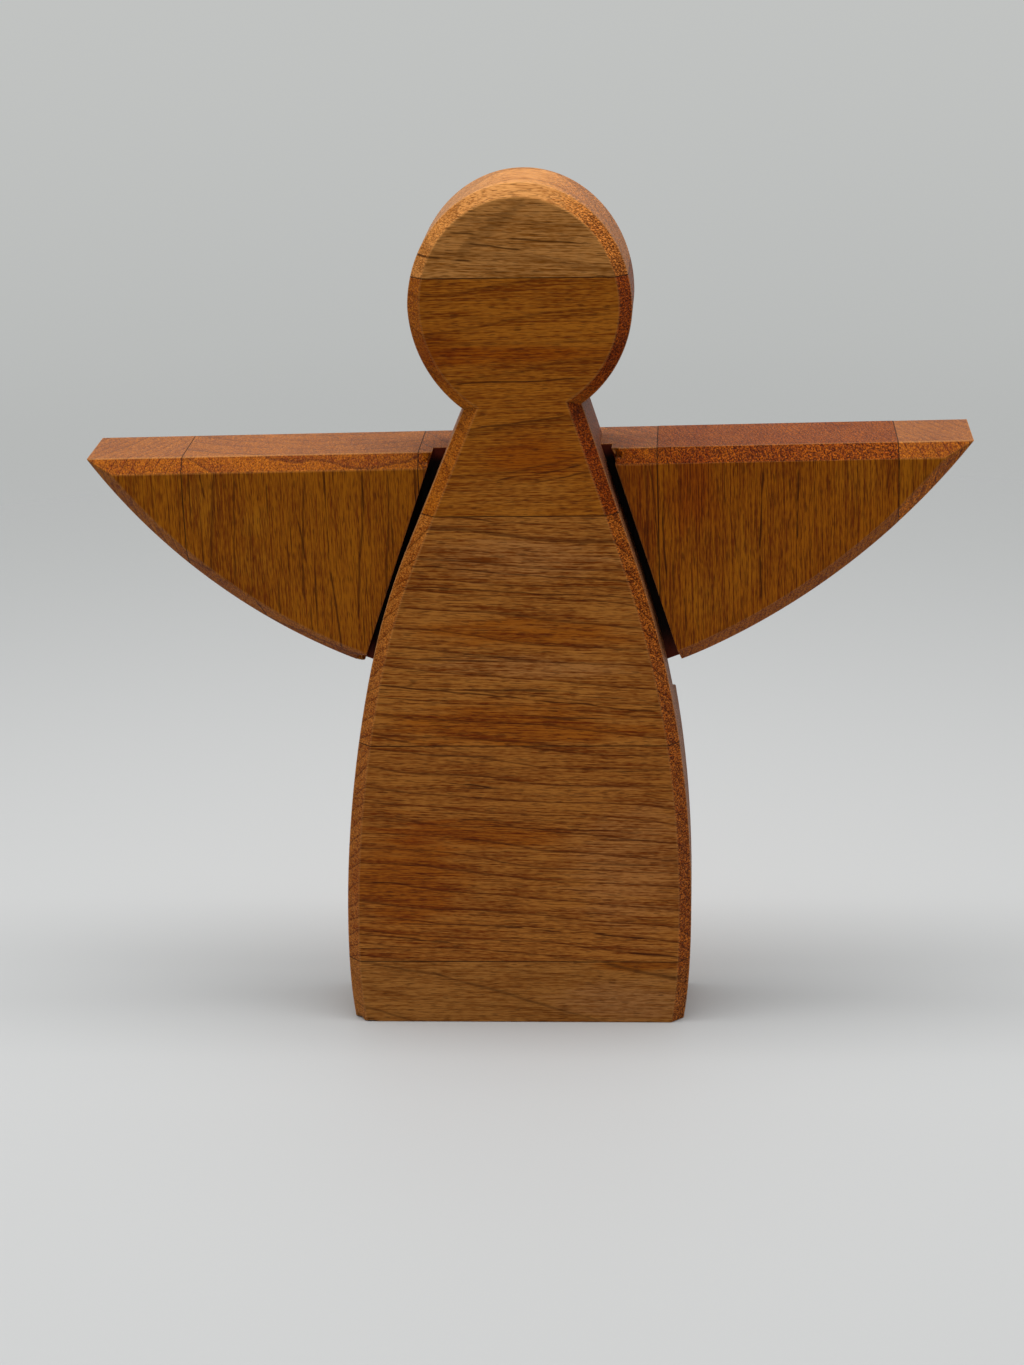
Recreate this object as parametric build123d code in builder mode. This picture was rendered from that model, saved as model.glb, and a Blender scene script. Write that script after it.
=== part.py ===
from build123d import *
import os

os.makedirs("parts", exist_ok=True)

# Wooden angel figure, millimetres. X is the viewer's right, Y runs from front to back and Z is up.
# The origin is the middle of the flat base. Left and right are the viewer's, facing the front.
#
# Two boards, each glued up edge to edge from five staves, make the figure:
# - the body board, head and bell-shaped body in one outline, has its grain lying across;
# - the wing board has its grain standing upright and crosses behind the body's front.
# They meet in a lap joint: a recess across the front of the wing board straddles the wood that
# a housing across the back of the body leaves at the front.

# ---- Stock --------------------------------------------------------------------------------
body_thickness = 28.0
wing_thickness = 28.0
foot_stave = 18.8  # body staves, from the floor up; the chest stave takes what is left
skirt_stave = 65.1
face_stave = 65.1
crown_stave = 24.8
wing_stave = 65.1  # the three middle staves of the wings; the tip staves take what is left
wing_stave_offset = 8.2  # middle of the centre stave to the right of the body's foot

# ---- Body outline: half-widths at the heights where the curve turns -----------------------
body_lean = 1.3  # degrees to the right
foot_half_width = 47.1
foot_flare = 9.0  # degrees that the side leans out from the floor
hem_rise = 24.0
hem_half_width = 48.8
waist_rise = 68.2
waist_half_width = 43.4
shoulder_rise = 45.3
shoulder_half_width = 31.5
neck_rise = 42.0
neck_skew = 1.0  # the right corner of the neck is this much above neck_rise, the left below
left_neck_half_width = 15.2
right_neck_half_width = 16.8
jaw_rise = 26.8  # from the neck to the widest part of the head
head_half_width = 30.0
crown_rise = 33.5
body_chamfer = 3.4

# ---- Wing board: U runs along its straight top edge and W is square to it -----------------
wing_drop = 14.0  # top edge of the wings below the neck
wing_tilt = 0.8  # degrees, right side up
belly_offset = 2.8  # lowest point of the wings to the right of the body's foot
left_span = 118.9  # from the lowest point to the tip
right_span = 123.5
wing_depth = 68.6
belly_radius = 123.0
belly_half_angle = 25.0
wing_chamfer = 3.8

# ---- Lap joint ----------------------------------------------------------------------------
wing_setback = 7.5  # front of the wings behind the front of the body
lip_thickness = 16.0  # wood that the housing leaves at the front of the body
lap_clearance = 0.0  # the glued faces touch
housing_slack = 5.0  # space left under the lowest point of the wings
left_gap_top = 3.6  # open gaps between the sides of the body and the shoulders of the recess
left_gap_foot = 4.3
right_gap_top = 2.9
right_gap_foot = 6.3
overcut = 12.0  # how far a cutting shape runs past the wood

# ---- Heights and depths that follow -------------------------------------------------------
waist_height = hem_rise + waist_rise
shoulder_height = waist_height + shoulder_rise
neck_height = shoulder_height + neck_rise
head_height = neck_height + jaw_rise
total_height = head_height + crown_rise
wing_top_height = neck_height - wing_drop
housing_foot_height = wing_top_height - wing_depth - housing_slack

body_front = -body_thickness / 2
body_rear = body_thickness / 2
wing_front = body_front + wing_setback
wing_rear = wing_front + wing_thickness
lap_face = body_front + lip_thickness

# Corners of the neck, where the head meets the body, and the middles of the jaw's arcs
left_neck = Vector(-left_neck_half_width, neck_height - neck_skew)
right_neck = Vector(right_neck_half_width, neck_height + neck_skew)
left_jaw = Vector(0, head_height) + Vector(-head_half_width, 0).rotate(Axis.Z, 28)
right_jaw = Vector(0, head_height) + Vector(head_half_width, 0).rotate(Axis.Z, -28)


def facing_plane(depth, height, lean):
    """A sketch plane that faces the viewer, its own upright leaning to the right in degrees.

    A sketch on it extrudes towards the front.
    """
    across = Vector(1, 0, 0).rotate(Axis.Y, lean)
    return Plane((0, depth, height), x_dir=across, z_dir=(0, -1, 0))


# ---- Body board ---------------------------------------------------------------------------
with BuildPart() as body_board:
    with BuildSketch(facing_plane(body_rear, 0, body_lean)):
        with BuildLine():
            for side, neck, jaw in ((-1, left_neck, left_jaw), (1, right_neck, right_jaw)):
                shoulder = Vector(side * shoulder_half_width, shoulder_height)
                flank = Spline(
                    (side * foot_half_width, 0),
                    (side * hem_half_width, hem_rise),
                    (side * waist_half_width, waist_height),
                    shoulder,
                    tangents=[Vector(0, 1).rotate(Axis.Z, -side * foot_flare), neck - shoulder],
                )
                Line(flank @ 1, neck)
                ThreePointArc(neck, jaw, (side * head_half_width, head_height))
                below_foot = flank @ 0 - (flank % 0) * overcut
                Polyline(flank @ 0, below_foot, (0, below_foot.Y))
            EllipticalCenterArc((0, head_height), head_half_width, crown_rise, arc_size=180)
        make_face()
    extrude(amount=body_thickness)
    front_edges = faces().sort_by(Axis.Y)[0].edges()
    chamfer(front_edges.filter_by(lambda edge: edge.center().Z > 0), body_chamfer)
    # The base is sawn off flat, which takes the lean out of it.
    split(bisect_by=Plane.XY, keep=Keep.TOP)
    # Housing across the back, tight on the top edge of the wings and slack below them
    with BuildSketch(facing_plane(body_rear + overcut, wing_top_height, -wing_tilt)):
        with Locations((0, lap_clearance)):
            Rectangle(
                2 * (hem_half_width + overcut),
                wing_depth + housing_slack + lap_clearance,
                align=(Align.CENTER, Align.MAX),
            )
    extrude(amount=body_rear + overcut - lap_face, mode=Mode.SUBTRACT)


# ---- Wing board ---------------------------------------------------------------------------
def recess_shoulder(side, neck, gap_top, gap_foot):
    """The two ends of a shoulder of the recess, a straight line on the body's sketch plane.

    The line clears the neck's flank by gap_top at the height of the wings' top edge, and the
    waist by gap_foot at the foot of the housing, and runs on past both.
    """
    shoulder = Vector(side * shoulder_half_width, shoulder_height)
    climbed = (wing_top_height - shoulder_height) / (neck.Y - shoulder_height)
    top = shoulder + (neck - shoulder) * climbed + Vector(side * gap_top, 0)
    foot = Vector(side * (waist_half_width + gap_foot), housing_foot_height)
    run_on = (top - foot).normalized() * overcut
    return [top + run_on, foot - run_on]


with BuildPart() as wing_board:
    with BuildSketch(facing_plane(wing_rear, wing_top_height, -wing_tilt)):
        with BuildLine():
            lowest = (belly_offset, -wing_depth)
            left_tip = (belly_offset - left_span, 0)
            right_tip = (belly_offset + right_span, 0)
            left_belly = JernArc(lowest, (-1, 0), belly_radius, -belly_half_angle)
            right_belly = JernArc(lowest, (1, 0), belly_radius, belly_half_angle)
            TangentArc(left_belly @ 1, left_tip, tangent=left_belly % 1)
            TangentArc(right_belly @ 1, right_tip, tangent=right_belly % 1)
            Line(left_tip, right_tip)
        make_face()
    extrude(amount=wing_thickness)
    chamfer(faces().sort_by(Axis.Y)[0].edges(), wing_chamfer)
    # Recess that straddles the front of the body
    with BuildSketch(facing_plane(lap_face + lap_clearance, 0, body_lean)):
        with BuildLine():
            left_end = recess_shoulder(-1, left_neck, left_gap_top, left_gap_foot)
            right_end = recess_shoulder(1, right_neck, right_gap_top, right_gap_foot)
            Polyline(*left_end, *reversed(right_end), close=True)
        make_face()
    extrude(amount=lap_face - wing_front + overcut, mode=Mode.SUBTRACT)
    # Wherever the body still stands out past a shoulder, the recess makes way for it.
    add(body_board.part, mode=Mode.SUBTRACT)

# ---- Staves: each board is parted along its glue lines ------------------------------------
reach = 2 * (left_span + right_span + total_height)  # wider than either board
wing_plane = facing_plane(wing_rear, wing_top_height, -wing_tilt)
body_lines = [
    -overcut,
    foot_stave,
    foot_stave + skirt_stave,
    total_height - crown_stave - face_stave,
    total_height - crown_stave,
    total_height + overcut,
]
wing_lines = [
    belly_offset - left_span - overcut,
    wing_stave_offset - wing_stave * 3 / 2,
    wing_stave_offset - wing_stave / 2,
    wing_stave_offset + wing_stave / 2,
    wing_stave_offset + wing_stave * 3 / 2,
    belly_offset + right_span + overcut,
]
body_names = ["foot_stave", "skirt_stave", "chest_stave", "face_stave", "crown_stave"]
wing_names = [
    "left_tip_stave",
    "left_wing_stave",
    "centre_wing_stave",
    "right_wing_stave",
    "right_tip_stave",
]

for name, start, end in zip(body_names, body_lines[:-1], body_lines[1:]):
    with BuildPart() as stave:
        add(body_board.part)
        with BuildSketch(Plane.XY.offset(start)):
            Rectangle(reach, reach)
        extrude(amount=end - start, mode=Mode.INTERSECT)
    stave.part.label = name
    export_step(stave.part, f"parts/{name}.step")

for name, start, end in zip(wing_names, wing_lines[:-1], wing_lines[1:]):
    with BuildPart() as stave:
        add(wing_board.part)
        with BuildSketch(Plane(wing_plane.origin, z_dir=wing_plane.x_dir).offset(start)):
            Rectangle(reach, reach)
        extrude(amount=end - start, mode=Mode.INTERSECT)
    stave.part.label = name
    export_step(stave.part, f"parts/{name}.step")
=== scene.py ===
"""Wooden angel figure: the looks of its two edge-glued boards, with the studio they stand in.

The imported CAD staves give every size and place. Each one is copied, its doubles are merged, its
arrises are eased and its glue lines are opened to a hair, and then it is dressed in solid wood.
"""

import logging
import math
import random
from dataclasses import dataclass, replace
from enum import Enum

import bmesh
import bpy
from mathutils import Matrix, Vector


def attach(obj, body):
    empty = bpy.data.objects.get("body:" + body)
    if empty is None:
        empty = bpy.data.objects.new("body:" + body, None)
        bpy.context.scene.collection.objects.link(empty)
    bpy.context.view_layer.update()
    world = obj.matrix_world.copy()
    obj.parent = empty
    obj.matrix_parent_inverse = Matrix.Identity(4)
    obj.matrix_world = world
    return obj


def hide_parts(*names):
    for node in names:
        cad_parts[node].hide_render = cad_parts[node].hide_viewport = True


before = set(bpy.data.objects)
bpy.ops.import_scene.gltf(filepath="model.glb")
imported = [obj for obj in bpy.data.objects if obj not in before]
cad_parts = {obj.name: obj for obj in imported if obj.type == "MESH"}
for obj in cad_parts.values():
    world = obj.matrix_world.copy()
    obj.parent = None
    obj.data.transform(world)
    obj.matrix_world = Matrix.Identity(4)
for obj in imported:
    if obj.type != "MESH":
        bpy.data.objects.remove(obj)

LOG = logging.getLogger("angel_figure")
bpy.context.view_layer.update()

MM = 0.001
FAR = 1000.0  # mm: a glue line that a stave hasn't got
SAME_POINT = 0.001 * MM
IN_PLANE = 0.01 * MM
ON_CUT = 0.0001 * MM

Colour = tuple[float, float, float]  # linear red, green and blue

WARM: Colour = (0.86, 0.66, 0.25)
PALE: Colour = (1.04, 1.12, 1.7)
NO_TINT: Colour = (1.0, 1.0, 1.0)
GLUE: Colour = (0.02, 0.007, 0.002)
# Pale grey on sawn faces: partly dust, partly a painted pale sheen.
DUST_AND_SHEEN: Colour = (0.26, 0.25, 0.18)
# Light colour of eased arrises: partly wear, partly a painted highlight.
RUBBED_AND_HIGHLIGHT: Colour = (0.7, 0.36, 0.13)
# Dark and light flecks of torn end grain; on the whole they darken sawn faces, partly a painted
# shade of the rough grain.
FUZZ_SHADE: Colour = (0.44, 0.34, 0.24)
FUZZ_LIGHT: Colour = (1.75, 1.65, 1.6)
# Painted shade deep in the recess, and painted light where some light reaches in at its mouths.
RECESS_SHADE: Colour = (0.01, 0.005, 0.003)
RECESS_MOUTH_LIGHT: Colour = (0.13, 0.022, 0.01)


# ---- Node graphs ----


class Graph:
    """A node tree with short ways to place nodes and join their sockets."""

    def __init__(self, tree: bpy.types.NodeTree) -> None:
        """Takes the tree that the nodes go into."""
        self.tree = tree

    def node(self, kind: str, **settings: object) -> bpy.types.Node:
        """Places a node.

        Args:
            kind: The node's Blender type.
            settings: Properties to set on it.

        Returns:
            The new node.
        """
        made = self.tree.nodes.new(kind)
        for name, value in settings.items():
            setattr(made, name, value)
        return made

    def feed(self, socket: bpy.types.NodeSocket, value: object) -> None:
        """Joins a socket to another, or gives it a plain value.

        Args:
            socket: The input to fill.
            value: An output socket, a number or a tuple.
        """
        if isinstance(value, bpy.types.NodeSocket):
            self.tree.links.new(value, socket)
        else:
            socket.default_value = value

    def feed_all(self, node: bpy.types.Node, *values: object) -> None:
        """Fills a node's first inputs.

        Args:
            node: The node.
            values: Its inputs in order, sockets or plain values.
        """
        for socket, value in zip(node.inputs, values):
            self.feed(socket, value)

    def math(self, operation: str, *values: object, clamp: bool = False) -> bpy.types.NodeSocket:
        """Places a Math node.

        Args:
            operation: The Math node's operation.
            values: Its inputs in order, sockets or numbers.
            clamp: Whether the result is kept between 0 and 1.

        Returns:
            The result's socket.
        """
        made = self.node("ShaderNodeMath", operation=operation, use_clamp=clamp)
        self.feed_all(made, *values)
        return made.outputs[0]

    def times(self, first: object, second: object) -> bpy.types.NodeSocket:
        """Multiplies two values."""
        return self.math("MULTIPLY", first, second)

    def less(self, first: object, second: object) -> bpy.types.NodeSocket:
        """Takes the second value from the first."""
        return self.math("SUBTRACT", first, second)

    def vector(self, operation: str, *values: object) -> bpy.types.NodeSocket:
        """Places a Vector Math node.

        Args:
            operation: The Vector Math node's operation.
            values: Its vector inputs in order, sockets or tuples.

        Returns:
            The resulting vector's or value's socket.
        """
        made = self.node("ShaderNodeVectorMath", operation=operation)
        self.feed_all(made, *values)
        return made.outputs["Value" if operation in ("LENGTH", "DOT_PRODUCT") else "Vector"]

    def split(self, value: bpy.types.NodeSocket) -> bpy.types.NodeOutputs:
        """Places a Separate XYZ node.

        Args:
            value: The vector to take apart.

        Returns:
            The outputs X, Y and Z.
        """
        made = self.node("ShaderNodeSeparateXYZ")
        self.feed_all(made, value)
        return made.outputs

    def mark(self, name: str) -> bpy.types.NodeSocket:
        """Reads a value that the mesh carries under a name."""
        return self.node("ShaderNodeAttribute", attribute_name=name).outputs["Fac"]

    def noise(
        self,
        place: object,
        stretch: tuple[float, float, float],
        detail: float = 2.0,
        roughness: float = 0.5,
    ) -> bpy.types.NodeSocket:
        """Places a noise whose blobs have a given size along each axis.

        Args:
            place: The point's socket, in millimetres.
            stretch: Size of a blob along the grain, across it and through the board, in mm.
            detail: Octaves of finer noise on top.
            roughness: Share that each finer octave keeps.

        Returns:
            The noise value's socket, around a half.
        """
        made = self.node("ShaderNodeTexNoise", noise_dimensions="3D")
        self.feed(made.inputs["Vector"], self.vector("DIVIDE", place, stretch))
        self.feed(made.inputs["Scale"], 1.0)
        self.feed(made.inputs["Detail"], detail)
        self.feed(made.inputs["Roughness"], roughness)
        return made.outputs[0]

    def swing(self, *noise: object) -> bpy.types.NodeSocket:
        """Places a noise, given as for noise(), that swings about zero."""
        return self.less(self.noise(*noise), 0.5)

    def step(self, value: object, low: object, high: object) -> bpy.types.NodeSocket:
        """Places a smooth step.

        Args:
            value: What is stepped.
            low: Where the result leaves 0, or reaches it again when above high.
            high: Where the result reaches 1.

        Returns:
            The stepped value's socket.
        """
        made = self.node("ShaderNodeMapRange", interpolation_type="SMOOTHSTEP")
        self.feed_all(made, value, low, high, 0.0, 1.0)
        return made.outputs[0]

    def mix(
        self, factor: object, first: object, second: object, blend: str = "MIX"
    ) -> bpy.types.NodeSocket:
        """Places a colour mix.

        Args:
            factor: Share of the second colour.
            first: Colour at factor 0, a socket or three numbers.
            second: Colour at factor 1, a socket or three numbers.
            blend: The Mix node's blend type.

        Returns:
            The mixed colour's socket.
        """
        made = self.node("ShaderNodeMix", data_type="RGBA", blend_type=blend)
        self.feed(made.inputs[0], factor)
        for socket, colour in zip(made.inputs[6:8], (first, second)):
            self.feed(socket, (*colour, 1.0) if isinstance(colour, tuple) else colour)
        return made.outputs[2]

    def place(self, group: bpy.types.NodeTree, **values: object) -> bpy.types.NodeOutputs:
        """Places a node group.

        Args:
            group: The group's tree.
            values: Its inputs by name.

        Returns:
            The group node's outputs.
        """
        made = self.node("ShaderNodeGroup", node_tree=group)
        for name, value in values.items():
            self.feed(made.inputs[name], value)
        return made.outputs


Sockets = dict[str, bpy.types.NodeSocket]
Names = tuple[str, ...]


def new_group(
    name: str, vectors: Names, values: Names, results: Names
) -> tuple[Graph, Sockets, Sockets]:
    """Makes an empty node group with named sockets.

    Args:
        name: The group's name.
        vectors: The names of its vector inputs.
        values: The names of its plain number inputs.
        results: The names of its outputs, which are plain numbers.

    Returns:
        The group's graph, its input sockets by name and its output sockets by name.
    """
    tree = bpy.data.node_groups.new(name, "ShaderNodeTree")
    for way, kind, sockets in (
        ("INPUT", "Vector", vectors), ("INPUT", "Float", values), ("OUTPUT", "Float", results)
    ):
        for socket in sockets:
            tree.interface.new_socket(socket, in_out=way, socket_type=f"NodeSocket{kind}")
    graph = Graph(tree)
    given = graph.node("NodeGroupInput").outputs
    result = graph.node("NodeGroupOutput").inputs
    return graph, {n: given[n] for n in (*vectors, *values)}, {n: result[n] for n in results}


def new_material(name: str) -> tuple[bpy.types.Material, Graph]:
    """Makes a material with an empty node graph.

    Args:
        name: The material's name.

    Returns:
        The material and its graph.
    """
    material = bpy.data.materials.new(name)
    material.use_nodes = True
    material.node_tree.nodes.clear()
    return material, Graph(material.node_tree)


class WoodEffects:
    """The effects that every stave's wood shares, each one a node group built once."""

    def __init__(self) -> None:
        """Builds all the groups."""
        self.rings = self.build_rings()
        self.fibres = self.build_fibres()
        self.pores = self.build_pores()
        self.vein = self.build_vein()
        self.cloud = self.build_cloud()
        self.glue_line = self.build_glue_line()
        self.sawn_end = self.build_sawn_end()

    def build_rings(self) -> bpy.types.NodeTree:
        """Growth rings round a pith that may lie outside the stave and slope through it.

        Returns:
            A group that puts out how dark the late wood is, and the line that ends each year.
        """
        graph, given, result = new_group(
            "growth_rings",
            vectors=("Place", "Pith", "Slope"),
            values=("Spacing", "Wobble"),
            results=("Late Wood", "Ring Edge"),
        )
        place = given["Place"]
        drift = graph.node("ShaderNodeVectorMath", operation="SCALE")
        graph.feed(drift.inputs[0], given["Slope"])
        graph.feed(drift.inputs["Scale"], graph.split(place)["X"])
        offset = graph.vector("SUBTRACT", place, given["Pith"])
        offset = graph.vector("SUBTRACT", offset, drift.outputs["Vector"])
        radius = graph.vector("LENGTH", graph.vector("MULTIPLY", offset, (0.0, 1.0, 1.0)))
        broad = graph.swing(place, (70.0, 22.0, 22.0), 1.5)
        fine = graph.swing(place, (22.0, 5.0, 5.0))
        fine_share = 0.22
        wave = graph.math("MULTIPLY_ADD", fine, fine_share, broad)
        radius = graph.math("MULTIPLY_ADD", wave, given["Wobble"], radius)
        good_spell = 17.0  # mm from one run of wide rings to the next
        spread = 2.2  # years by which such runs come early or late
        years = graph.node("ShaderNodeTexNoise", noise_dimensions="1D")
        graph.feed(years.inputs["W"], graph.math("DIVIDE", radius, good_spell))
        graph.feed(years.inputs["Scale"], 1.0)
        uneven = graph.times(years.outputs[0], spread)
        count = graph.math("DIVIDE", radius, given["Spacing"])
        turn = graph.math("FRACT", graph.math("ADD", count, uneven))
        darkening = 2.4
        late = graph.math("POWER", turn, darkening)
        edge = graph.times(graph.step(turn, 0.86, 0.95), graph.step(turn, 1.0, 0.97))
        graph.feed(result["Late Wood"], graph.times(late, graph.step(turn, 1.0, 0.93)))
        graph.feed(result["Ring Edge"], edge)
        return graph.tree

    def build_fibres(self) -> bpy.types.NodeTree:
        """Streaks, flecks and broad patches of tone that run with the grain.

        Returns:
            A group that puts out four values around zero.
        """
        graph, given, result = new_group(
            "wood_fibres",
            vectors=("Place",),
            values=(),
            results=("Streaks", "Hairs", "Flecks", "Patches"),
        )
        for name, stretch, detail, roughness in (
            ("Streaks", (26.0, 1.0, 1.0), 3.0, 0.7),
            ("Hairs", (14.0, 0.36, 0.36), 1.0, 0.5),
            ("Flecks", (2.4, 0.38, 0.38), 1.0, 0.5),
            ("Patches", (30.0, 8.0, 8.0), 2.5, 0.55),
        ):
            graph.feed(result[name], graph.swing(given["Place"], stretch, detail, roughness))
        return graph.tree

    def build_pores(self) -> bpy.types.NodeTree:
        """Open pores: dark dashes along the grain, of which the short ones dot the sawn ends.

        Returns:
            A group that puts out a mask for the short pores and one for the long.
        """
        graph, given, result = new_group(
            "open_pores",
            vectors=("Place",),
            values=("Short", "Long"),
            results=("Short Pores", "Long Pores"),
        )
        for name, stretch, detail, rarest, softness in (
            ("Short", (3.4, 0.3, 0.3), 0.6, 0.8, 0.1),
            ("Long", (30.0, 0.85, 0.85), 0.8, 0.86, 0.05),
        ):
            dash = graph.noise(given["Place"], stretch, detail)
            top = graph.less(rarest, given[name])
            low = graph.less(top, softness)
            graph.feed(result[f"{name} Pores"], graph.step(dash, low, top))
        return graph.tree

    def build_vein(self) -> bpy.types.NodeTree:
        """One dark line of late wood along a stave, with a slope and two ends.

        Returns:
            A group that puts out the line's mask.
        """
        graph, given, result = new_group(
            "dark_vein",
            vectors=("Place",),
            values=("Height", "Slope", "Width", "Start", "End"),
            results=("Mask",),
        )
        place = given["Place"]
        apart = graph.split(place)
        along, across = apart["X"], apart["Y"]
        line = graph.math("MULTIPLY_ADD", along, given["Slope"], given["Height"])
        wave = graph.swing(place, (17.0, 40.0, 40.0))
        waver = 2.4  # mm
        line = graph.math("MULTIPLY_ADD", wave, waver, line)
        off = graph.math("ABSOLUTE", graph.less(across, line))
        uneven = graph.noise(place, (9.0, 30.0, 30.0))
        width = graph.times(given["Width"], graph.times(uneven, 2.0))
        mask = graph.step(graph.math("DIVIDE", off, width), 1.0, 0.2)
        taper = (-0.6, 1.4)  # mm inside each end
        for inside in (graph.less(along, given["Start"]), graph.less(given["End"], along)):
            mask = graph.times(mask, graph.step(inside, *taper))
        faint = graph.step(uneven, 0.25, 0.5)
        graph.feed(result["Mask"], graph.times(mask, faint))
        return graph.tree

    def build_glue_line(self) -> bpy.types.NodeTree:
        """The dark hair of glue at a stave's two edges.

        Returns:
            A group that puts out the glue's mask.
        """
        graph, given, result = new_group(
            "glue_line",
            vectors=(),
            values=("Across", "First", "Second", "Width"),
            results=("Mask",),
        )
        masks = []
        for edge in ("First", "Second"):
            off = graph.math("ABSOLUTE", graph.less(given["Across"], given[edge]))
            masks.append(graph.step(graph.math("DIVIDE", off, given["Width"]), 1.0, 0.3))
        graph.feed(result["Mask"], graph.math("MAXIMUM", *masks))
        return graph.tree

    def build_cloud(self) -> bpy.types.NodeTree:
        """One soft-edged area of a deeper or a paler tone.

        Returns:
            A group that puts out the area's mask.
        """
        graph, given, result = new_group(
            "soft_cloud", vectors=("Place", "Middle", "Size"), values=(), results=("Mask",)
        )
        offset = graph.vector("SUBTRACT", given["Place"], given["Middle"])
        offset = graph.vector("DIVIDE", offset, given["Size"])
        away = graph.vector("LENGTH", graph.vector("MULTIPLY", offset, (1.0, 1.0, 0.0)))
        ragged = graph.swing(given["Place"], (16.0, 2.2, 12.0), 3.0, 0.6)
        raggedness = 1.6
        away = graph.math("MULTIPLY_ADD", ragged, raggedness, away)
        graph.feed(result["Mask"], graph.step(away, 1.15, 0.35))
        return graph.tree

    def build_sawn_end(self) -> bpy.types.NodeTree:
        """How far a face cuts across the grain, and the fuzz that the saw leaves there.

        Returns:
            A group that puts out the share of end grain, whether it is cut square to the
            board, whether it faces up the grain, the fuzz, and how far the saw tore it.
        """
        graph, given, result = new_group(
            "sawn_end",
            vectors=("Place", "Grain"),
            values=("Clean", "Torn"),
            results=("End", "Square", "Toward", "Fuzz", "Tear"),
        )
        outward = graph.node("ShaderNodeNewGeometry").outputs["True Normal"]
        facing = graph.vector("DOT_PRODUCT", outward, given["Grain"])
        depth = graph.vector("DOT_PRODUCT", outward, (0.0, 1.0, 0.0))
        toward = graph.step(facing, -0.2, 0.2)
        more = graph.less(given["Torn"], given["Clean"])
        graph.feed(result["End"], graph.step(graph.math("ABSOLUTE", facing), 0.12, 0.62))
        graph.feed(result["Square"], graph.step(graph.math("ABSOLUTE", depth), 0.5, 0.2))
        graph.feed(result["Toward"], toward)
        graph.feed(result["Fuzz"], graph.noise(given["Place"], (1.1, 0.42, 0.42), 2.0, 0.6))
        graph.feed(result["Tear"], graph.math("MULTIPLY_ADD", toward, more, given["Clean"]))
        return graph.tree


# ---- Finishes ----


class Grain(Enum):
    """Which way a board's grain runs, as the row's axis along it."""

    LYING = (1.0, 0.0, 0.0)
    UPRIGHT = (0.0, 0.0, 1.0)

    def order(self) -> str:
        """The row's axes that run along the grain, through the board and across the grain."""
        return "XZY" if self is Grain.LYING else "ZXY"


@dataclass(frozen=True)
class Vein:
    """A dark line between two ends, each so many mm along and across its stave."""

    first: tuple[float, float]
    last: tuple[float, float]
    depth: float = 0.7
    width: float = 0.34

    def slope(self) -> float:
        """Its rise across the stave for each millimetre along it."""
        return (self.last[1] - self.first[1]) / (self.last[0] - self.first[0])

    def height(self) -> float:
        """How far across the stave it would cross the stave's middle."""
        return self.first[1] - self.slope() * self.first[0]


@dataclass(frozen=True)
class Cloud:
    """A soft-edged area with a tint of its own, in mm along and across its stave."""

    middle: tuple[float, float]
    size: tuple[float, float]
    tint: Colour = WARM


@dataclass(frozen=True)
class OiledWood:
    """One stave's wood. Colours are linear, lengths are in mm and angles in degrees."""

    light: Colour
    dark: Colour
    pith: tuple[float, float]
    ring_spacing: float
    seed: float
    slope: tuple[float, float] = (0.0, 0.0)
    ring_depth: float = 0.45
    edge_depth: float = 0.45
    wobble: float = 8.0
    lean: float = 0.0
    tone: float = 0.3
    streaks: float = 1.4
    hairs: float = 2.0
    flecks: float = 1.8
    patches: float = 1.0
    pores: float = 0.12
    long_pores: float = 0.12
    clean: float = 0.3
    torn: float = 1.0
    # Tints of sawn ends facing down the grain and up it: partly end-grain colour, partly painted
    # light and shade by the way they face.
    clean_tint_and_painted_light: Colour = (1.0, 0.94, 0.84)
    torn_tint_and_painted_light: Colour = (0.84, 0.68, 0.45)
    # Share of pale grey on sawn faces square to the board: partly dust, partly a painted sheen.
    dust_and_sheen: float = 0.22
    veins: tuple[Vein, ...] = ()
    clouds: tuple[Cloud, ...] = ()


@dataclass(frozen=True)
class OilFinish:
    """What oil, glue and wear do alike on every stave. Lengths are in mm."""

    line_shade: float = 0.3
    short_pore_depth: float = 0.5
    long_pore_depth: float = 0.7
    fuzz_range: tuple[float, float] = (0.38, 0.64)
    # Share of the light arris colour, partly wear and partly a painted highlight.
    arris_wear_and_highlight: float = 0.3
    glue_width: float = 0.24
    glue_depth: float = 0.8
    # Where the recess's painted shade gives way to painted light at its two mouths, in mm along
    # the stave.
    mouth_low: tuple[float, float] = (-52.0, -61.0)
    mouth_high: tuple[float, float] = (-4.2, -1.2)
    roughness: float = 0.42
    end_roughness: float = 0.08
    streak_roughness: float = 0.25
    shine: float = 0.08
    short_pore_relief: float = -0.05
    long_pore_relief: float = -0.07
    fleck_relief: float = 0.06
    streak_relief: float = 0.08
    fuzz_relief: float = 0.7
    relief: float = 0.8


@dataclass(frozen=True)
class Seat:
    """How a stave lies in its board, which is tilted so many degrees, right side up.

    The middle is in metres in the row frame. The edges are the two glue lines, so many mm
    across the grain from the middle.
    """

    grain: Grain
    tilt: float
    middle: Vector
    edges: tuple[float, float]


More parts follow.
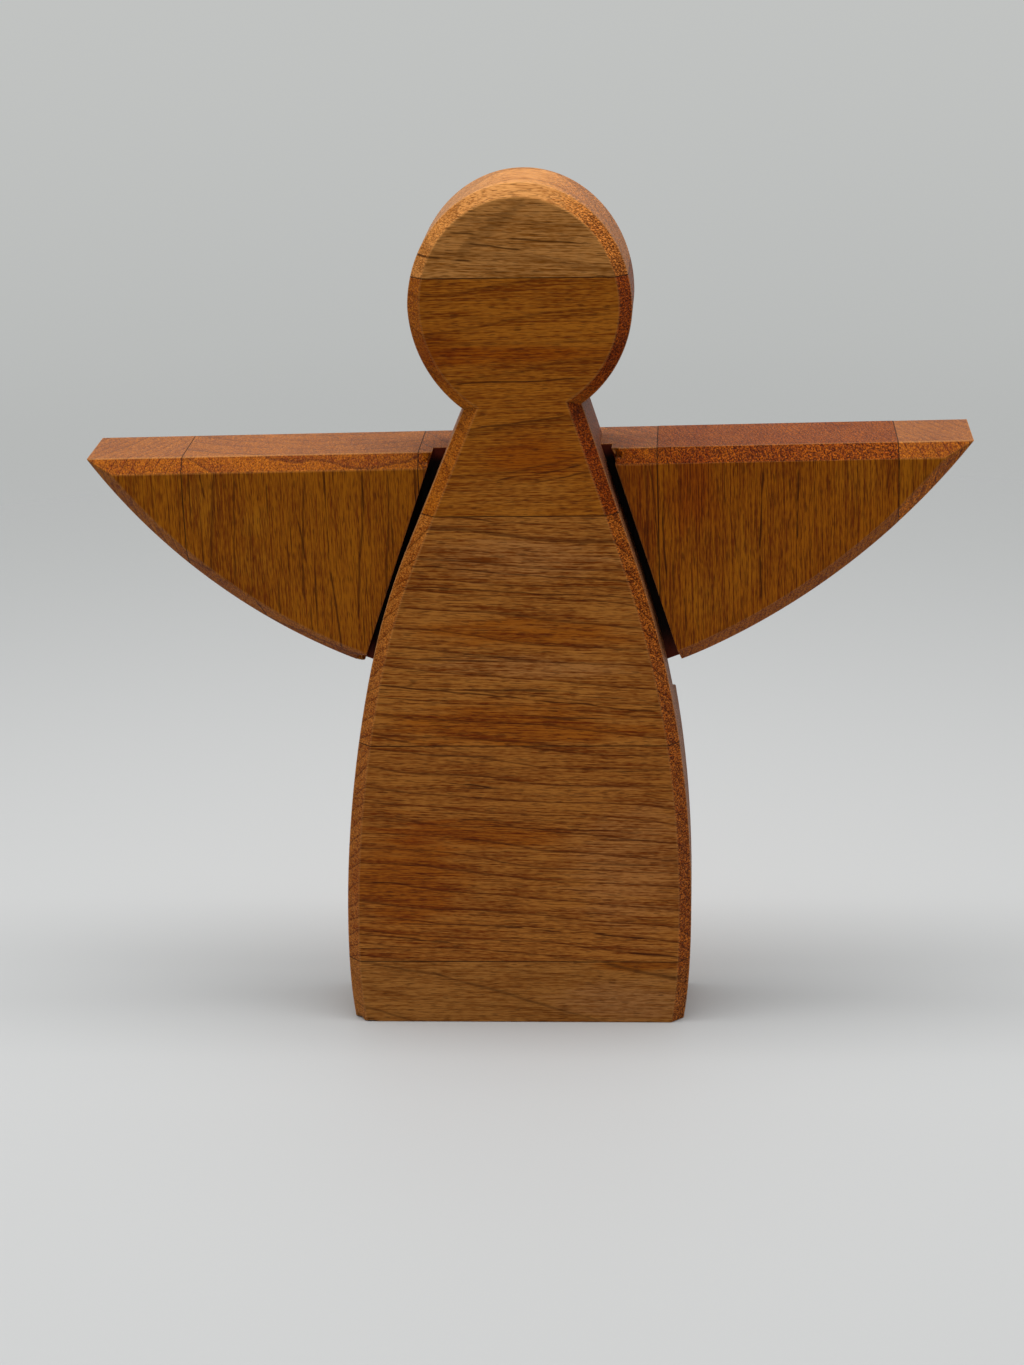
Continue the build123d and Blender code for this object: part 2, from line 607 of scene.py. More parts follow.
class StaveMaterial:
    """One stave's material: its colour, its sheen and its relief."""

    seed_step = (131.0, 57.0, 83.0)

    def __init__(
        self, name: str, wood: OiledWood, finish: OilFinish, effects: WoodEffects, seat: Seat
    ) -> None:
        """Lays out the stave's millimetres and places the shared effects on them.

        Args:
            name: The piece's name.
            wood: The stave's own wood.
            finish: What every stave shares.
            effects: The shared node groups.
            seat: How the stave lies in its board.
        """
        self.wood = wood
        self.finish = finish
        self.effects = effects
        self.seat = seat
        self.material, self.graph = new_material(f"{name}_wood")
        graph = self.graph
        self.square = self.turned(self.in_grain_order(), seat.tilt, 1 / MM)
        self.stave = self.turned(self.square, wood.lean, 1.0)
        place = graph.vector("ADD", self.stave, tuple(wood.seed * s for s in self.seed_step))
        self.rings = graph.place(
            effects.rings,
            Place=self.stave,
            Pith=(0.0, *wood.pith),
            Slope=(0.0, *wood.slope),
            Spacing=wood.ring_spacing,
            Wobble=wood.wobble,
        )
        self.fibres = graph.place(effects.fibres, Place=place)
        self.pores = graph.place(
            effects.pores, Place=place, Short=wood.pores, Long=wood.long_pores
        )
        self.ends = graph.place(
            effects.sawn_end,
            Place=place,
            Grain=seat.grain.value,
            Clean=wood.clean,
            Torn=wood.torn,
        )
        self.colour = self.plain_wood()

    def in_grain_order(self) -> bpy.types.NodeSocket:
        """The place from the stave's middle as metres along, across and through the board."""
        points = self.graph.node("ShaderNodeTexCoord").outputs["Object"]
        apart = self.graph.split(self.graph.vector("SUBTRACT", points, tuple(self.seat.middle)))
        joined = self.graph.node("ShaderNodeCombineXYZ")
        self.graph.feed_all(joined, *(apart[axis] for axis in self.seat.grain.order()))
        return joined.outputs[0]

    def turned(
        self, place: bpy.types.NodeSocket, angle: float, scale: float
    ) -> bpy.types.NodeSocket:
        """Turns and scales a place in the board's plane.

        Args:
            place: The place's socket.
            angle: The turn, in degrees.
            scale: The scale along all three axes.

        Returns:
            The new place's socket.
        """
        mapping = self.graph.node("ShaderNodeMapping")
        self.graph.feed(mapping.inputs["Vector"], place)
        mapping.inputs["Rotation"].default_value = (0.0, 0.0, math.radians(angle))
        mapping.inputs["Scale"].default_value = (scale,) * 3
        return mapping.outputs[0]

    def build(self) -> bpy.types.Material:
        """Joins the colour, the roughness and the relief to one shader.

        Returns:
            The finished material.
        """
        self.tint_clouds()
        self.draw_lines()
        self.saw_ends()
        self.rub_and_highlight_arrises()
        self.draw_glue()
        self.paint_recess_shade()
        graph, finish = self.graph, self.finish
        shader = graph.node("ShaderNodeBsdfPrincipled")
        shader.inputs["Specular IOR Level"].default_value = finish.shine
        graph.feed(shader.inputs["Base Color"], self.colour)
        rough = finish.roughness
        for value, share in (
            (self.ends["End"], finish.end_roughness),
            (self.fibres["Streaks"], finish.streak_roughness),
        ):
            rough = graph.math("MULTIPLY_ADD", value, share, rough)
        graph.feed(shader.inputs["Roughness"], rough)
        bump = graph.node("ShaderNodeBump")
        bump.inputs["Strength"].default_value = finish.relief
        bump.inputs["Distance"].default_value = MM
        graph.feed(bump.inputs["Height"], self.height())
        graph.feed(shader.inputs["Normal"], bump.outputs[0])
        output = graph.node("ShaderNodeOutputMaterial")
        graph.feed(output.inputs["Surface"], shader.outputs[0])
        return self.material

    def plain_wood(self) -> bpy.types.NodeSocket:
        """Mixes the wood's light and dark by its rings, streaks and flecks.

        Returns:
            The colour's socket.
        """
        graph, wood = self.graph, self.wood
        tone = graph.math("MULTIPLY_ADD", self.rings["Late Wood"], wood.ring_depth, wood.tone)
        for name, share in (
            ("Streaks", wood.streaks),
            ("Hairs", wood.hairs),
            ("Flecks", wood.flecks),
            ("Patches", wood.patches),
        ):
            tone = graph.math("MULTIPLY_ADD", self.fibres[name], share, tone)
        return graph.mix(graph.math("ADD", tone, 0.0, clamp=True), wood.light, wood.dark)

    def tint_clouds(self) -> None:
        """Lays the deeper and paler areas over the colour."""
        for cloud in self.wood.clouds:
            mask = self.graph.place(
                self.effects.cloud,
                Place=self.stave,
                Middle=(*cloud.middle, 0.0),
                Size=(*cloud.size, 1.0),
            )["Mask"]
            self.colour = self.graph.mix(mask, self.colour, cloud.tint, "MULTIPLY")

    def draw_lines(self) -> None:
        """Draws the ring edges, the pores and the veins over the colour."""
        graph, finish = self.graph, self.finish
        line = tuple(channel * finish.line_shade for channel in self.wood.dark)
        flat = graph.less(1.0, self.ends["End"])
        long = graph.times(self.pores["Long Pores"], finish.long_pore_depth)
        masks = [
            graph.times(self.rings["Ring Edge"], self.wood.edge_depth),
            graph.times(self.pores["Short Pores"], finish.short_pore_depth),
            graph.times(long, flat),
        ]
        for vein in self.wood.veins:
            drawn = graph.place(
                self.effects.vein,
                Place=self.stave,
                Height=vein.height(),
                Slope=vein.slope(),
                Width=vein.width,
                Start=min(vein.first[0], vein.last[0]),
                End=max(vein.first[0], vein.last[0]),
            )["Mask"]
            masks.append(graph.times(drawn, vein.depth))
        for mask in masks:
            self.colour = graph.mix(mask, self.colour, line)

    def saw_ends(self) -> None:
        """Gives sawn faces their tint, torn fuzz and dusty grey, with painted light and shade in
        them.
        """
        graph, wood, ends = self.graph, self.wood, self.ends
        fuzz = graph.step(ends["Fuzz"], *self.finish.fuzz_range)
        # Flecks of torn end grain, whose darkening is partly painted shade.
        speckle_and_shade = graph.mix(fuzz, FUZZ_SHADE, FUZZ_LIGHT)
        speckle_and_shade = graph.mix(ends["Tear"], NO_TINT, speckle_and_shade)
        # Tint by which way the end faces along the grain: partly end-grain colour, partly painted
        # light and shade.
        tint = graph.mix(ends["Toward"], wood.clean_tint_and_painted_light, wood.torn_tint_and_painted_light)
        sawn = graph.mix(1.0, self.colour, tint, "MULTIPLY")
        sawn = graph.mix(1.0, sawn, speckle_and_shade, "MULTIPLY")
        # Pale grey on sawn faces square to the board: partly dust, partly a painted sheen on the
        # tops.
        sawn = graph.mix(graph.times(ends["Square"], wood.dust_and_sheen), sawn, DUST_AND_SHEEN)
        self.colour = graph.mix(ends["End"], self.colour, sawn)

    def rub_and_highlight_arrises(self) -> None:
        """Lightens the eased edges, which hands and sandpaper rub, and paints a highlight along
        them.
        """
        wear_and_highlight = self.graph.times(self.graph.mark("arris"), self.finish.arris_wear_and_highlight)
        self.colour = self.graph.mix(wear_and_highlight, self.colour, RUBBED_AND_HIGHLIGHT)

    def draw_glue(self) -> None:
        """Draws the glue lines at the stave's edges."""
        glue = self.graph.place(
            self.effects.glue_line,
            Across=self.graph.split(self.square)["Y"],
            First=self.seat.edges[0],
            Second=self.seat.edges[1],
            Width=self.finish.glue_width,
        )["Mask"]
        drawn = self.graph.times(glue, self.finish.glue_depth)
        self.colour = self.graph.mix(drawn, self.colour, GLUE)

    def paint_recess_shade(self) -> None:
        """Paints shade into the recess, which light hardly enters, and paints some light at its
        two mouths.
        """
        graph, finish = self.graph, self.finish
        along = graph.split(self.stave)["X"]
        mouths = [graph.step(along, *ends) for ends in (finish.mouth_low, finish.mouth_high)]
        # Painted shade in the recess, lifting to painted light at its mouths.
        painted_shade = graph.mix(graph.math("MAXIMUM", *mouths), RECESS_SHADE, RECESS_MOUTH_LIGHT)
        self.colour = graph.mix(graph.mark("recess"), self.colour, painted_shade)

    def height(self) -> bpy.types.NodeSocket:
        """The relief in mm: sunken pores, raised fibres and the fuzz of torn ends."""
        graph, finish, ends = self.graph, self.finish, self.ends
        torn = graph.times(ends["Fuzz"], ends["End"])
        torn = graph.times(torn, ends["Tear"])
        height = 0.0
        for value, share in (
            (self.pores["Short Pores"], finish.short_pore_relief),
            (self.pores["Long Pores"], finish.long_pore_relief),
            (self.fibres["Flecks"], finish.fleck_relief),
            (self.fibres["Streaks"], finish.streak_relief),
            (torn, finish.fuzz_relief),
        ):
            height = graph.math("MULTIPLY_ADD", value, share, height)
        return height


# ---- Boards ----


def link_mesh(name: str, shape: bmesh.types.BMesh) -> bpy.types.Object:
    """Turns a shape into an object in the scene and frees the shape.

    Args:
        name: The mesh's and the object's name.
        shape: The shape.

    Returns:
        The object, at the origin.
    """
    mesh = bpy.data.meshes.new(name)
    shape.to_mesh(mesh)
    shape.free()
    made = bpy.data.objects.new(name, mesh)
    bpy.context.scene.collection.objects.link(made)
    return made


@dataclass(frozen=True)
class Chip:
    """A corner that the saw tore out, in mm in the row frame."""

    stave: str
    place: tuple[float, float, float]
    inward: tuple[float, float, float]
    radius: float
    seed: int
    cuts: tuple[float, ...] = (-1.0, -0.6, -0.25, 0.25, 0.6, 1.0)
    press: tuple[float, float] = (0.35, 1.3)

    def tear(self, shape: bmesh.types.BMesh) -> None:
        """Cuts fine strips round the corner and presses their ends in unevenly.

        Args:
            shape: The stave.
        """
        place = Vector(self.place) * MM
        radius = self.radius * MM
        for axis in range(3):
            way = Vector((0.0, 0.0, 0.0))
            way[axis] = 1.0
            for share in self.cuts:
                bmesh.ops.bisect_plane(
                    shape,
                    geom=[*shape.verts, *shape.edges, *shape.faces],
                    plane_co=place + way * radius * share,
                    plane_no=way,
                    dist=ON_CUT,
                )
        near = [vert for vert in shape.verts if (vert.co - place).length < radius]
        uneven = random.Random(self.seed)
        for vert in sorted(near, key=lambda vert: tuple(round(c, 7) for c in vert.co)):
            share = 1.0 - (vert.co - place).length / radius
            vert.co += Vector(self.inward) * MM * share * uneven.uniform(*self.press)


@dataclass(frozen=True)
class Board:
    """A board glued up from staves that the CAD gives, in order across its grain.

    The arris, the glue groove and the recess depth are in metres, and the angles in degrees.
    A face looks or leans to the front when its normal points there by more than so much.
    """

    slot: str
    grain: Grain
    woods: dict[str, OiledWood]
    tilt: float = 0.0
    datum: tuple[float, float, float] = (0.0, 0.0, 0.0)
    chips: tuple[Chip, ...] = ()
    finish: OilFinish = OilFinish()
    arris: float = 0.35 * MM
    # Share of the arris wear and painted highlight on arrises that lean to the front.
    front_wear_and_highlight: float = 0.3
    glue_groove: float = 0.07 * MM
    recess_depth: float = 3.0 * MM
    flat_angle: float = 0.4
    ease_angle: float = 14.0
    crease_angle: float = 38.0
    looks_front: float = 0.9
    leans_front: float = 0.72
    shading_weight: int = 60

    def across(self, point: Vector) -> float:
        """How far a point lies across the board's grain, in metres."""
        tilt = math.radians(self.tilt)
        if self.grain is Grain.LYING:
            return point.z * math.cos(tilt) - point.x * math.sin(tilt)
        return point.x * math.cos(tilt) + point.z * math.sin(tilt)

    def middle(self, place: float) -> Vector:
        """The point on the board's datum line that lies so far across the grain.

        Args:
            place: How far across the grain it lies, in metres.

        Returns:
            The point, in the row frame.
        """
        tilt = math.radians(self.tilt)
        way = Vector((math.cos(tilt), 0.0, math.sin(tilt)))
        if self.grain is Grain.LYING:
            way = Vector((-math.sin(tilt), 0.0, math.cos(tilt)))
        start = Vector(self.datum)
        return start + way * (place - self.across(start))

    def reach(self, name: str) -> tuple[float, float]:
        """Where a stave begins and ends across the grain, in metres."""
        places = [self.across(vert.co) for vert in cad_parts[name].data.vertices]
        return min(places), max(places)

    def build(self, effects: WoodEffects) -> None:
        """Makes and dresses every stave.

        Args:
            effects: The shared node groups.
        """
        end = len(self.woods) - 1
        for index, (name, wood) in enumerate(self.woods.items()):
            first, last = self.reach(name)
            centre = (first + last) / 2
            planes = [first] * (index > 0) + [last] * (index < end)
            piece = self.finish_stave(name, planes)
            edges = tuple(
                (place - centre) / MM if place in planes else FAR for place in (first, last)
            )
            seat = Seat(self.grain, self.tilt, self.middle(centre), edges)
            dressing = StaveMaterial(piece.name, wood, self.finish, effects, seat)
            piece.data.materials.append(dressing.build())
            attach(piece, "root")
            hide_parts(name)
            LOG.info("%s: %d faces", piece.name, len(piece.data.polygons))

    def finish_stave(self, name: str, planes: list[float]) -> bpy.types.Object:
        """Copies a CAD stave, merges it, eases its arrises and opens its glue lines.

        Args:
            name: The CAD node.
            planes: Where its glued faces lie across the grain.

        Returns:
            The finished stave, at the origin.
        """
        shape = bmesh.new()
        shape.from_mesh(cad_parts[name].data)
        bmesh.ops.remove_doubles(shape, verts=shape.verts, dist=SAME_POINT)
        bmesh.ops.dissolve_limit(
            shape,
            angle_limit=math.radians(self.flat_angle),
            verts=shape.verts,
            edges=shape.edges,
        )
        wear_and_highlight = shape.loops.layers.float.new("arris")
        inner = shape.loops.layers.float.new("recess")
        for face in self.recess_faces(shape):
            for loop in face.loops:
                loop[inner] = 1.0
        arrises = self.sharp_edges(shape, planes, glued=False)
        for face in self.ease(shape, arrises, self.arris, segments=3):
            for loop in face.loops:
                # Arrises that don't lean to the front get the full wear and painted highlight,
                # the front ones a share.
                loop[wear_and_highlight] = self.front_wear_and_highlight if -face.normal.y > self.leans_front else 1.0
        glued = self.sharp_edges(shape, planes, glued=True)
        self.ease(shape, glued, self.glue_groove, segments=1)
        for chip in self.chips:
            if chip.stave == name:
                chip.tear(shape)
        piece = link_mesh(f"{name}_finished", shape)
        piece.data.shade_smooth()
        piece.data.set_sharp_from_angle(angle=math.radians(self.crease_angle))
        weighted = piece.modifiers.new("even_shading", "WEIGHTED_NORMAL")
        weighted.keep_sharp = True
        weighted.weight = self.shading_weight
        return piece

    @staticmethod
    def ease(
        shape: bmesh.types.BMesh, edges: list[bmesh.types.BMEdge], width: float, segments: int
    ) -> list[bmesh.types.BMFace]:
        """Bevels some edges.

        Args:
            shape: The stave.
            edges: The edges.
            width: How far the bevel reaches on each side, in metres.
            segments: How many faces round the bevel takes.

        Returns:
            The bevel's faces.
        """
        made = bmesh.ops.bevel(
            shape,
            geom=edges,
            offset=width,
            offset_type="OFFSET",
            affect="EDGES",
            segments=segments,
            profile=0.5,
            material=-1,
            clamp_overlap=True,
        )
        return made["faces"]

    def recess_faces(self, shape: bmesh.types.BMesh) -> list[bmesh.types.BMFace]:
        """Finds the faces that look to the front from behind the board's own front.

        Args:
            shape: The stave.

        Returns:
            The faces, which get painted shade because little light reaches them.
        """
        inner = min(vert.co.y for vert in shape.verts) + self.recess_depth
        looking = [face for face in shape.faces if -face.normal.y > self.looks_front]
        return [face for face in looking if face.calc_center_median().y > inner]

    def sharp_edges(
        self, shape: bmesh.types.BMesh, planes: list[float], glued: bool
    ) -> list[bmesh.types.BMEdge]:
        """Finds the outward edges to ease.

        Args:
            shape: The stave.
            planes: Where its glued faces lie across the grain.
            glued: Whether to take the edges of the glued faces, or all the others.

        Returns:
            The edges.
        """
        found = []
        for edge in shape.edges:
            if len(edge.link_faces) != 2 or not edge.is_convex:
                continue
            if edge.calc_face_angle() < math.radians(self.ease_angle):
                continue
            on_plane = any(self.in_glue_plane(edge, plane) for plane in planes)
            if on_plane == glued:
                found.append(edge)
        return found

    def in_glue_plane(self, edge: bmesh.types.BMEdge, plane: float) -> bool:
        """Whether both ends of an edge lie in a glued face."""
        return all(abs(self.across(vert.co) - plane) < IN_PLANE for vert in edge.verts)


FOOT = OiledWood(
    light=(0.49, 0.19, 0.036),
    dark=(0.25, 0.07, 0.006),
    pith=(-70.0, 60.0),
    slope=(-0.2, 0.0),
    ring_spacing=14.0,
    ring_depth=0.35,
    edge_depth=0.15,
    streaks=1.1,
    long_pores=0.02,
    seed=1.0,
    veins=(
        Vein((-46.0, 9.6), (-21.0, 4.9), 0.45, 0.6),
        Vein((-24.0, 5.6), (24.0, -9.3), 0.5, 0.6),
        Vein((25.0, 8.6), (47.0, 4.2), 0.6, 0.9),
        Vein((-47.0, -4.2), (-28.0, -9.6), 0.5, 0.5),
    ),
    clouds=(Cloud((36.0, 8.5), (16.0, 2.6)), Cloud((30.0, -3.0), (22.0, 7.0), PALE)),
)
SKIRT = OiledWood(
    light=(0.52, 0.185, 0.028),
    dark=(0.21, 0.042, 0.001),
    pith=(95.0, 115.0),
    slope=(-0.05, 0.0),
    ring_spacing=2.9,
    ring_depth=0.4,
    edge_depth=0.5,
    wobble=5.0,
    lean=1.5,
    streaks=1.6,
    long_pores=0.11,
    seed=2.0,
    veins=(
        Vein((-18.7, 20.8), (-6.5, 20.1), 0.9),
        Vein((-44.3, -25.2), (-17.5, -27.2), 0.8),
        Vein((-5.7, -21.9), (13.9, -22.9), 0.9),
        Vein((22.3, -23.3), (37.2, -24.3), 0.9),
        Vein((32.6, -28.8), (46.9, -29.9), 0.8),
    ),
    clouds=(
        Cloud((-30.0, -9.0), (19.0, 22.0)),
        Cloud((-12.0, 6.0), (28.0, 5.0)),
        Cloud((33.0, -2.0), (20.0, 24.0), PALE),
    ),
)
CHEST = replace(
    SKIRT,
    light=(0.56, 0.205, 0.032),
    dark=(0.225, 0.046, 0.001),
    pith=(85.0, 110.0),
    ring_spacing=3.1,
    wobble=4.0,
    long_pores=0.1,
    seed=3.0,
    veins=(
        Vein((-27.5, 18.2), (34.9, 15.3), 0.75, 0.3),
        Vein((-30.2, 12.3), (34.3, 10.7), 0.7, 0.3),
        Vein((-35.7, -15.8), (-11.6, -17.9), 0.8),
        Vein((-13.6, -17.7), (40.9, -22.0), 0.8),
        Vein((-38.8, -31.0), (-26.7, -32.7)),
        Vein((-18.9, 32.7), (14.0, 30.9), 0.7, 0.3),
    ),
    clouds=(
        Cloud((0.0, -27.0), (46.0, 8.0)),
        Cloud((4.0, 0.0), (34.0, 5.0)),
        Cloud((4.0, 21.0), (30.0, 7.0), PALE),
        Cloud((6.0, -10.0), (34.0, 4.0), PALE),
    ),
)
FACE = OiledWood(
    light=(0.53, 0.17, 0.012),
    dark=(0.24, 0.05, 0.001),
    pith=(-60.0, 45.0),
    slope=(0.12, 0.0),
    ring_spacing=9.0,
    ring_depth=0.3,
    edge_depth=0.3,
    wobble=7.0,
    lean=-1.0,
    streaks=1.5,
    flecks=1.9,
    long_pores=0.06,
    # A darker tint on the sawn ends that face right: partly painted shade.
    torn_tint_and_painted_light=(0.64, 0.4, 0.22),
    seed=4.0,
    veins=(
        Vein((-13.0, 4.0), (23.0, 4.9), 0.85, 0.28),
        Vein((-22.0, 22.3), (30.0, 22.2), 0.25, 0.6),
        Vein((-20.0, 15.0), (31.0, 14.9), 0.25, 0.6),
        Vein((-10.4, -8.5), (17.9, -5.1), 0.6),
        Vein((-20.8, -11.0), (-16.4, -14.3), 0.9),
        Vein((-21.8, -14.0), (-16.6, -11.0), 0.9),
        Vein((-25.6, -23.4), (-21.0, -25.0), 0.9),
        Vein((-3.2, -22.6), (20.6, -19.0), 0.75),
        Vein((1.4, -24.0), (23.3, -20.9), 0.6),
    ),
    clouds=(
        Cloud((-19.0, 13.5), (10.0, 7.0), (0.78, 0.62, 0.3)),
        Cloud((6.0, 12.0), (30.0, 3.0)),
        Cloud((8.0, -16.0), (18.0, 6.0)),
        Cloud((0.0, -26.0), (22.0, 6.0), PALE),
    ),
)
CROWN = OiledWood(
    light=(0.7, 0.3, 0.075),
    dark=(0.33, 0.105, 0.01),
    pith=(-50.0, 40.0),
    slope=(-0.1, 0.0),
    ring_spacing=10.0,
    ring_depth=0.3,
    edge_depth=0.2,
    lean=2.0,
    streaks=1.2,
    flecks=1.7,
    long_pores=0.07,
    seed=5.0,
    veins=(
        Vein((-13.3, -0.7), (-6.0, -1.3), 0.85),
        Vein((2.2, -1.9), (24.1, -2.9), 0.85),
        Vein((-8.5, -3.7), (6.0, -4.9), 0.85),
        Vein((-31.0, -6.6), (-15.0, -7.5), 0.95, 0.42),
        Vein((-28.5, -0.3), (-23.0, -0.9), 0.9, 0.36),
        Vein((-12.0, -7.9), (-7.0, -8.3), 0.85),
        Vein((-11.3, -6.9), (6.7, 8.2), 0.3, 2.4),
    ),
)
BODY_BOARD = Board(
    slot="body_wood",
    grain=Grain.LYING,
    woods={
        "foot_stave": FOOT,
        "skirt_stave": SKIRT,
        "chest_stave": CHEST,
        "face_stave": FACE,
        "crown_stave": CROWN,
    },
    chips=(
        Chip("foot_stave", (-46.6, -12.5, 0.0), (1.2, 0.7, 1.0), 2.4, 3),
        Chip("foot_stave", (-42.5, -13.8, 0.0), (0.1, 0.5, 0.6), 1.6, 5),
    ),
)

TIP = OiledWood(
    light=(0.47, 0.143, 0.003),
    dark=(0.215, 0.042, 0.001),
    pith=(-90.0, 40.0),
    ring_spacing=3.0,
    wobble=3.0,
    streaks=1.9,
    torn=0.45,
    # The pale grey on the sawn tops is partly a painted sheen.
    dust_and_sheen=0.16,
    clean_tint_and_painted_light=(0.85, 0.85, 0.8),
    torn_tint_and_painted_light=(0.9, 0.84, 0.8),
    seed=6.0,
)
LEFT_WING = replace(
    TIP,
    pith=(12.0, 75.0),
    slope=(0.08, 0.0),
    ring_spacing=5.5,
    wobble=6.0,
    long_pores=0.15,
    seed=7.0,
    veins=(
        Vein((-3.4, -27.5), (-11.3, -26.4), 0.8),
        Vein((-3.6, -18.1), (-37.2, -19.5), 0.6),
        Vein((-6.0, 0.9), (-40.5, -0.9), 0.6, 0.42),
        Vein((-17.0, -1.2), (-30.0, 0.8)),
        Vein((-40.2, -14.4), (-46.1, -11.7), 0.8, 0.4),
        Vein((-4.3, 17.3), (-46.5, 14.0), 0.62, 0.5),
        Vein((-4.5, 24.4), (-40.9, 22.3), 0.55, 0.45),
        Vein((-32.0, 7.2), (-55.2, 9.0), 0.75, 0.4),
        Vein((-56.2, 8.1), (-59.2, 11.4), 0.9),
        Vein((-59.0, 8.2), (-57.0, 11.4), 0.8),
    ),
    clouds=(
        Cloud((-12.0, -27.0), (11.0, 5.5), PALE),
        Cloud((-18.0, -12.5), (5.0, 5.5), PALE),
        Cloud((-30.0, -14.0), (6.0, 7.0), PALE),
    ),
)
CENTRE_WING = replace(
    TIP,
    pith=(90.0, 70.0),
    ring_spacing=4.0,
    wobble=4.0,
    torn=0.8,
    seed=8.0,
    veins=(Vein((-2.6, 30.7), (-28.0, 32.5)),),
    clouds=(Cloud((-20.0, 26.0), (44.0, 9.0), (0.9, 0.74, 0.5)),),
)
RIGHT_WING = replace(
    TIP,
    light=(0.46, 0.13, 0.002),
    dark=(0.2, 0.036, 0.001),
    pith=(210.0, 60.0),
    ring_spacing=1.5,
    ring_depth=0.4,
    edge_depth=0.35,
    long_pores=0.07,
    torn=1.0,
    # Its sawn top gets a paler, greyer tint and little dust: partly a painted sheen.
    torn_tint_and_painted_light=(0.7, 0.6, 0.5),
    dust_and_sheen=0.05,
    seed=9.0,
    veins=(
        Vein((-6.0, -4.3), (-42.8, -5.2), 0.85, 0.4),
        Vein((-6.0, 5.1), (-26.0, 5.0), 0.8, 0.4),
        Vein((-14.0, -31.6), (-36.6, -30.6), 0.85, 0.4),
    ),
    clouds=(
        Cloud((-43.0, -20.0), (10.0, 7.0), PALE),
        Cloud((-30.0, -9.0), (12.0, 5.0), PALE),
        Cloud((-9.0, 23.0), (7.0, 8.0), PALE),
        Cloud((-12.0, -23.0), (14.0, 8.0)),
    ),
)
WING_BOARD = Board(
    slot="wing_wood",
    grain=Grain.UPRIGHT,
    tilt=0.8,
    datum=(0.0, 0.0075, 0.1655),
    chips=(
        Chip("left_wing_stave", (-41.0, -3.9, 105.5), (-1.5, 1.6, 1.9), 2.9, 7),
        Chip("centre_wing_stave", (-20.9, -4.4, 163.6), (-1.2, 1.3, -0.9), 2.2, 9),
        Chip("centre_wing_stave", (28.9, -4.4, 164.2), (1.6, 1.8, -0.7), 2.6, 11),
    ),
    woods={
        "left_tip_stave": TIP,
        "left_wing_stave": LEFT_WING,
        "centre_wing_stave": CENTRE_WING,
        "right_wing_stave": RIGHT_WING,
        "right_tip_stave": replace(
            # Its downward-facing sawn ends get a lighter, paler tint: a painted sheen.
            TIP, pith=(90.0, 50.0), clean=0.9, clean_tint_and_painted_light=(1.15, 1.1, 1.1), seed=10.0
        ),
    },
)


# ---- Studio ----


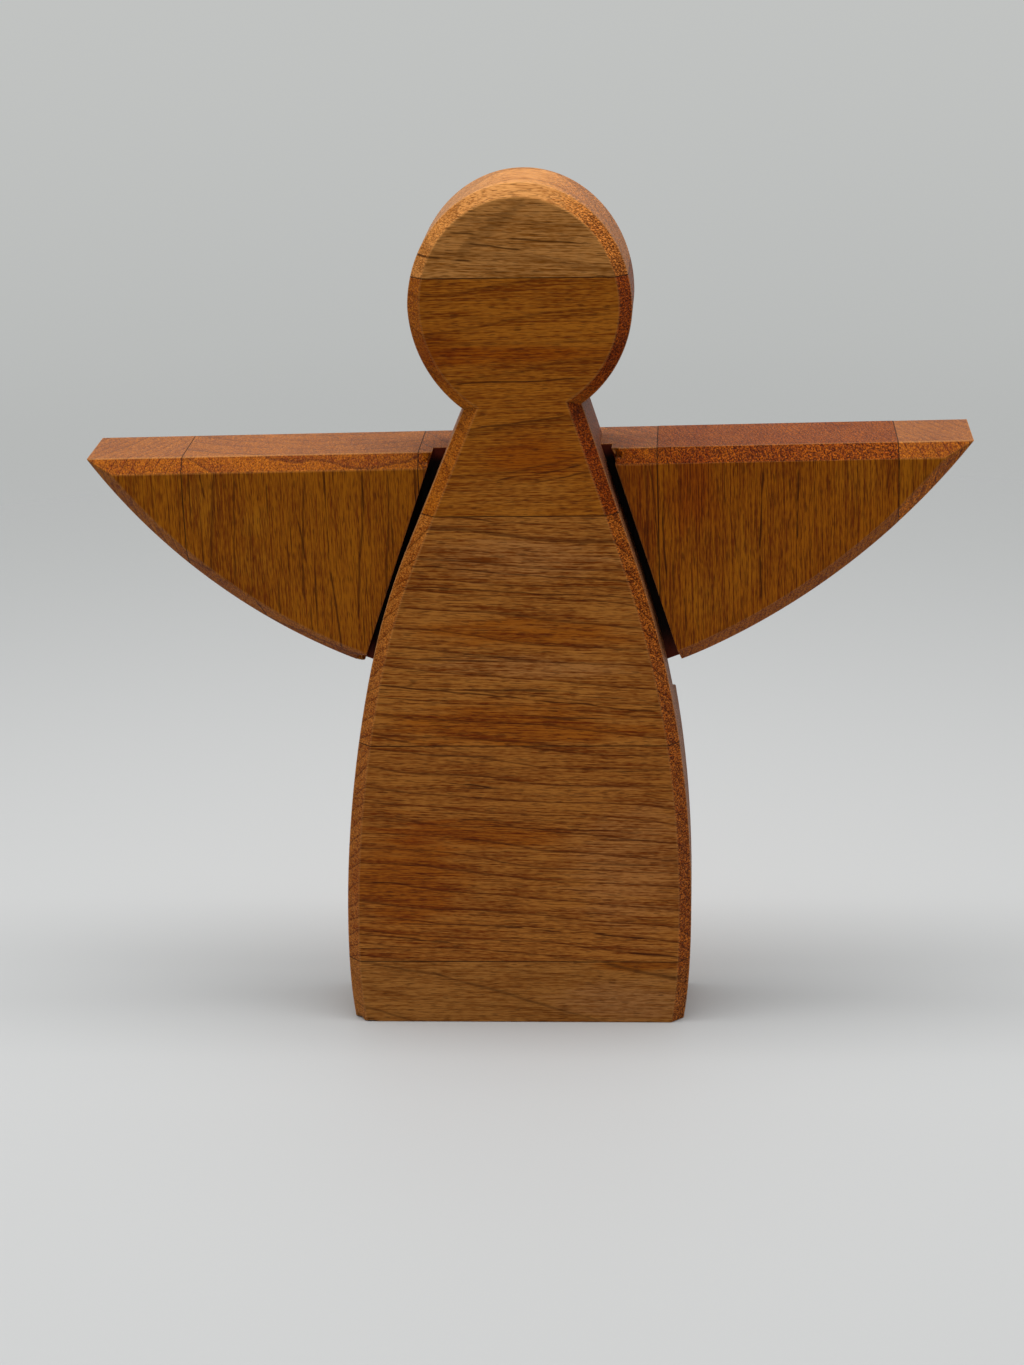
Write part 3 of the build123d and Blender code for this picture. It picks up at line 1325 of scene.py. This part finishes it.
@dataclass(frozen=True)
class Studio:
    """A pale floor under soft light from above, and the camera.

    Lengths are in metres but for the lens and its sensor, which are in mm. Angles are in
    degrees and the lamp's power is in watts.
    """

    floor_radius: float = 3.0
    floor_colour: Colour = (0.565, 0.575, 0.575)
    floor_fade: tuple[float, float] = (0.95, 0.12)
    floor_roughness: float = 0.6
    floor_shine: float = 0.2
    backdrop_low: Colour = (0.468, 0.48, 0.474)
    backdrop_high: Colour = (0.535, 0.546, 0.537)
    backdrop_rise: tuple[float, float] = (-0.29, -0.08)
    tent_front: float = 0.25
    tent_back: float = 0.75
    tent_turn: tuple[float, float] = (-0.1, 0.7)
    lamp_place: tuple[float, float, float] = (-0.05, -0.06, 1.1)
    lamp_size: tuple[float, float] = (1.5, 0.48)
    lamp_power: float = 13.6
    camera_place: tuple[float, float, float] = (0.05317, -0.80478, 0.3689)
    camera_yaw: float = 3.808
    camera_pitch: float = -18.578
    camera_roll: float = 1.372
    camera_near: float = 0.05
    lens: float = 80.07
    sensor: float = 36.0

    def build(self) -> None:
        """Makes the floor, the backdrop, the lamp and the camera."""
        self.build_floor()
        self.build_backdrop()
        self.build_lamp()
        self.build_camera()

    def build_floor(self) -> None:
        """Lays a round pale floor that fades into the backdrop and is no part of the figure."""
        shape = bmesh.new()
        bmesh.ops.create_circle(shape, cap_ends=True, segments=96, radius=self.floor_radius)
        floor = link_mesh("floor", shape)
        material, graph = new_material("pale_floor")
        points = graph.node("ShaderNodeTexCoord").outputs["Object"]
        near = graph.step(graph.vector("LENGTH", points), *self.floor_fade)
        cloth = graph.node("ShaderNodeBsdfPrincipled")
        cloth.inputs["Base Color"].default_value = (*self.floor_colour, 1.0)
        cloth.inputs["Roughness"].default_value = self.floor_roughness
        cloth.inputs["Specular IOR Level"].default_value = self.floor_shine
        clear = graph.node("ShaderNodeBsdfTransparent")
        blend = graph.node("ShaderNodeMixShader")
        graph.feed_all(blend, near, clear.outputs[0], cloth.outputs[0])
        graph.feed(graph.node("ShaderNodeOutputMaterial").inputs["Surface"], blend.outputs[0])
        floor.data.materials.append(material)

    def build_backdrop(self) -> None:
        """Hangs the pale tent, which is bright to look at and dimmer as a light.

        It lights the figure more from behind than from the front, so the tops stand out.
        """
        world = bpy.data.worlds.new("pale_tent")
        world.use_nodes = True
        world.node_tree.nodes.clear()
        graph = Graph(world.node_tree)
        way = graph.split(graph.node("ShaderNodeTexCoord").outputs["Generated"])
        height = graph.step(way["Z"], *self.backdrop_rise)
        seen = graph.node("ShaderNodeBackground")
        graph.feed(
            seen.inputs["Color"], graph.mix(height, self.backdrop_low, self.backdrop_high)
        )
        lit = graph.node("ShaderNodeBackground")
        behind = graph.step(way["Y"], *self.tent_turn)
        more = self.tent_back - self.tent_front
        strength = graph.math("MULTIPLY_ADD", behind, more, self.tent_front)
        graph.feed(lit.inputs["Strength"], strength)
        blend = graph.node("ShaderNodeMixShader")
        is_seen = graph.node("ShaderNodeLightPath").outputs["Is Camera Ray"]
        graph.feed_all(blend, is_seen, lit.outputs[0], seen.outputs[0])
        graph.feed(graph.node("ShaderNodeOutputWorld").inputs["Surface"], blend.outputs[0])
        bpy.context.scene.world = world

    def build_lamp(self) -> None:
        """Hangs a broad, shallow soft light straight above, pointing down."""
        lamp = bpy.data.lights.new("soft_top", "AREA")
        lamp.shape = "RECTANGLE"
        lamp.size, lamp.size_y = self.lamp_size
        lamp.energy = self.lamp_power
        holder = bpy.data.objects.new("soft_top", lamp)
        holder.location = self.lamp_place
        bpy.context.scene.collection.objects.link(holder)

    def build_camera(self) -> None:
        """Stands the camera in front of the figure, a little above it and to its right."""
        lens = bpy.data.cameras.new("camera")
        lens.lens = self.lens
        lens.sensor_width = self.sensor
        lens.clip_start = self.camera_near
        camera = bpy.data.objects.new("camera", lens)
        turn = Matrix.Rotation(math.radians(self.camera_yaw), 4, "Z")
        turn @= Matrix.Rotation(math.radians(self.camera_pitch), 4, "X")
        turn @= Matrix.Rotation(math.radians(self.camera_roll), 4, "Y")
        upright = Matrix.Rotation(math.radians(90), 4, "X")
        camera.matrix_world = Matrix.Translation(self.camera_place) @ turn @ upright
        bpy.context.scene.collection.objects.link(camera)
        bpy.context.scene.camera = camera


def main() -> None:
    """Builds the figure and its studio."""
    logging.basicConfig(level=logging.INFO, format="%(message)s")
    effects = WoodEffects()
    for board in (BODY_BOARD, WING_BOARD):
        board.build(effects)
    Studio().build()
    bpy.context.scene.view_settings.view_transform = "Standard"


if __name__ == "__main__":
    main()
